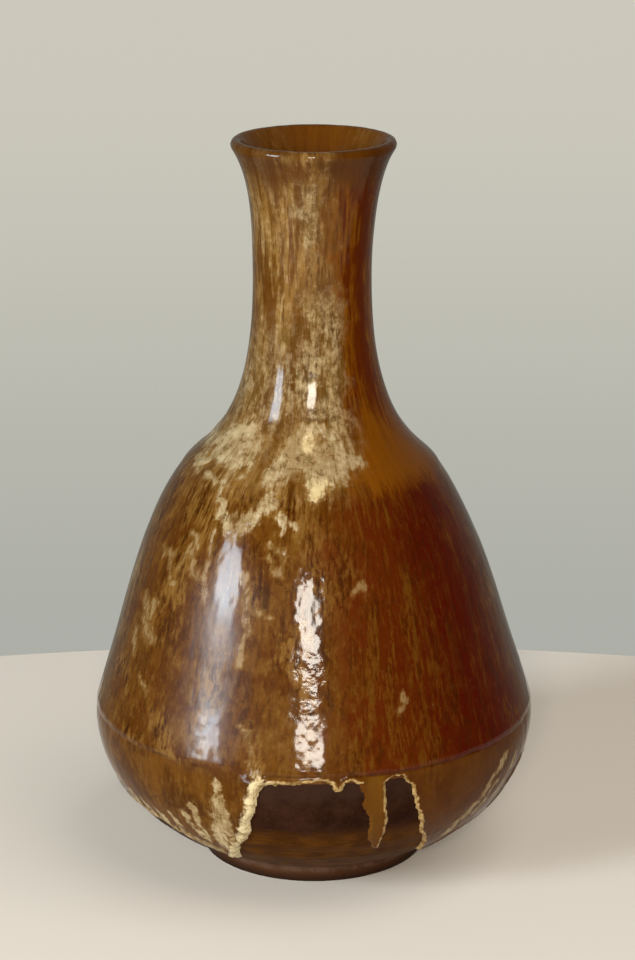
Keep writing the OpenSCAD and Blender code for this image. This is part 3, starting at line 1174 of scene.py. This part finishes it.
def make_base_coat():
    sheet = turned("base_coat", outside(UPPER_COAT, 11.0, DIP_Z + 2.0), 600, 64, BASE_GLAZE)
    co = points_of(sheet.data)
    depth, roll = coat_edge(co)
    runs = 0.06 * ripple(co * (1, 1, 0.15), 3.0, 21)
    lift(sheet, coat_height(depth, roll) - BASE_T + runs * smooth(depth, 1, 4))
    store(sheet.data, "roll", np.clip(1 - depth / np.maximum(roll, 0.2), 0, 1) * (roll > 0.3))
    store(sheet.data, "cream", cream_field(co))
    store(sheet.data, "depth", depth)
    store(sheet.data, "width", roll)
    drop_faces(sheet, lambda points: (depth[points] <= -0.9).all())
    return sheet


def split_rolls(sheet):
    """Parts the rolled edges from the rest of the base coat."""
    rolls = sheet.copy()
    rolls.data = sheet.data.copy()
    rolls.name = "rolled_edges"
    bpy.context.scene.collection.objects.link(rolls)
    count = len(sheet.data.vertices)
    depth, width = np.empty(count), np.empty(count)
    sheet.data.attributes["depth"].data.foreach_get("value", depth)
    sheet.data.attributes["width"].data.foreach_get("value", width)
    is_roll = depth < 1.5 * width + 0.6
    drop_faces(rolls, lambda points: not is_roll[points[0]])
    drop_faces(sheet, lambda points: is_roll[points[0]])
    return rolls


base_coat = make_base_coat()
rolled_edges = split_rolls(base_coat)
close_skin(base_coat)
close_skin(rolled_edges)

# %% [markdown]
# ## The upper coat
#
# The upper coat was dipped from the mouth down, so it ends in a level, slightly wavering line with
# a soft thick edge. It is made in two pieces that pass under one another at the shoulder crease,
# which keeps each mesh light and the join out of sight.

# %% Belly and neck of the upper coat
LAP = 3.0


def dipped(name, path, segments, rows, shape):
    """A closed sheet of the upper coat with fine runs, and with ends that a function shapes."""
    sheet = turned(name, path, segments, rows, GLAZE)
    co = points_of(sheet.data)
    lift(sheet, 0.05 * ripple(co * (1, 1, 0.12), 3.2, 32) + shape(co, angle_height(co)[1]))
    store(sheet.data, "cream", cream_field(co))
    close_skin(sheet)
    return sheet


def belly_ends(co, z):
    """A thick edge that sinks away at the dip line, and a tuck under the neck's sheet."""
    into = z - DIP_Z - 0.35 * ripple(co, 14.0, 31)
    edge = 0.06 * np.exp(-(((into - 1.2) / 1.0) ** 2)) - 0.5 * (1 - smooth(into, -0.6, 0.9))
    return edge - 0.25 * smooth(z, SHOULDER[1], SHOULDER[1] + LAP)


def neck_ends(co, z):
    return -0.25 * (1 - smooth(z, SHOULDER[1] - LAP, SHOULDER[1]))


belly_path = outside(0, DIP_Z - 1.6, SHOULDER[1] + LAP)
neck_path = np.vstack([outside(0, SHOULDER[1] - LAP), rim(0), inside(0, 189.0)])
belly_coat = dipped("belly_coat", belly_path, 420, 88, belly_ends)
neck_coat = dipped("neck_coat", neck_path, 300, 132, neck_ends)

# %% [markdown]
# ## Thick cream
#
# Where the cream lies thickest on the shoulder it stands proud, like icing. A separate sheet is
# lifted only there, follows the same field of strokes and sinks under the upper coat at its edge.

# %% Cream patches that stand proud
PATCH_LOW, PATCH_HIGH = 98.0, 131.0


def make_cream():
    sheet = turned("cream_patches", outside(0, PATCH_LOW, PATCH_HIGH), 420, 70, GLAZE)
    co = points_of(sheet.data)
    laid = cream_field(co)
    strength = laid + 0.15 * ripple(co, 2.4, 41, 2)
    lift(sheet, 0.30 * smooth(strength, 0.50, 0.95) - 0.12)
    store(sheet.data, "cream", laid)
    drop_faces(sheet, lambda points: (strength[points] <= 0.46).all())
    close_skin(sheet)
    return sheet


cream = make_cream()

# %% [markdown]
# ## Liner
#
# The liner is poured in and out again, so it is one even skin from the floor to just under the
# lip. It is turned as a closed form, because a look down the neck shows only its inner face.

# %% Liner skin
LINER_TOP = 190.5
liner_profile = np.vstack([
    inside(0, high=LINER_TOP),
    [(0, inside(0)[-1][1])],
    [(0, inside(COAT)[-1][1])],
    inside(COAT, high=LINER_TOP)[::-1],
])
liner_profile = np.vstack([liner_profile, liner_profile[:1]])
liner = turned("liner_skin", liner_profile, 200, 230, LINER)

# %% [markdown]
# ## The pieces
#
# Each piece rides on the pot's one body and stands for its solid in the frame.

# %% Pieces on the frame
PIECES = [
    (belly, ["belly_wall"], "bare_clay"),
    (neck, ["neck_wall"], "bare_clay"),
    (slip, ["shoulder_slip"], "slip"),
    (foot, ["foot_ring"], "bare_clay"),
    (base_coat, ["base_glaze"], "base_coat"),
    (rolled_edges, ["glaze_rolls"], "cream"),
    (belly_coat, ["upper_glaze"], "upper_coat"),
    (neck_coat, ["upper_glaze"], "upper_coat"),
    (cream, ["cream_glaze"], "cream"),
    (liner, ["liner_glaze"], "liner"),
]
for piece, nodes, finish in PIECES:
    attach(piece, "root")
    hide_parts(*nodes)
print(len(PIECES), "pieces on the pot")

# %% [markdown]
# ## Table and room
#
# The table is stage, not part of the vase: a plain warm-white disc whose back edge makes the
# horizon. The room has no walls. Its two tones come from the world, pale to the eye and dimmer in
# what the glaze reflects, because a bright room all round would wash the reflections out.

# %% Table and room
TABLE_R, TABLE_BACK, TABLE_T = 0.55, 0.154, 0.02
TABLE_WHITE = (0.64, 0.58, 0.51, 1)
MIRROR_DARK, MIRROR_LIGHT = (0.03, 0.03, 0.03, 1), (0.25, 0.25, 0.22, 1)
WALL_LOWER, WALL_UPPER = (0.42, 0.425, 0.385, 1), (0.60, 0.58, 0.50, 1)


def make_table():
    form = bmesh.new()
    disc = {"segments": 256, "radius1": TABLE_R, "radius2": TABLE_R, "depth": TABLE_T}
    bmesh.ops.create_cone(form, cap_ends=True, **disc)
    mesh = bpy.data.meshes.new("table")
    form.to_mesh(mesh)
    form.free()
    material, _, body = shader("table")
    body.inputs["Base Color"].default_value = TABLE_WHITE
    body.inputs["Roughness"].default_value = 0.7
    body.inputs["Specular IOR Level"].default_value = 0.2
    mesh.materials.append(material)
    table = bpy.data.objects.new("table", mesh)
    table.location = (0, TABLE_BACK - TABLE_R, -TABLE_T / 2)
    bpy.context.scene.collection.objects.link(table)


def light_room():
    """A pale room for the eye, and a dimmer one for what the glaze reflects."""
    world = bpy.data.worlds.new("room")
    bpy.context.scene.world = world
    world.use_nodes = True
    tree = world.node_tree
    tree.nodes.clear()
    _, back, up = axes_of(tree, make(tree, "ShaderNodeTexCoord", output="Generated"))
    dim = blend(tree, back.step(-0.1, 0.9), MIRROR_DARK, MIRROR_LIGHT)
    bright = blend(tree, up.step(-0.36, -0.14), WALL_LOWER, WALL_UPPER)
    colour = blend(tree, make(tree, "ShaderNodeLightPath"), dim, bright)
    glow = make(tree, "ShaderNodeBackground", None, {"Color": colour, "Strength": 1.0})
    make(tree, "ShaderNodeOutputWorld", None, {"Surface": glow})


make_table()
light_room()
print("table", TABLE_R, "m in radius, its back edge", TABLE_BACK, "m behind the pot")
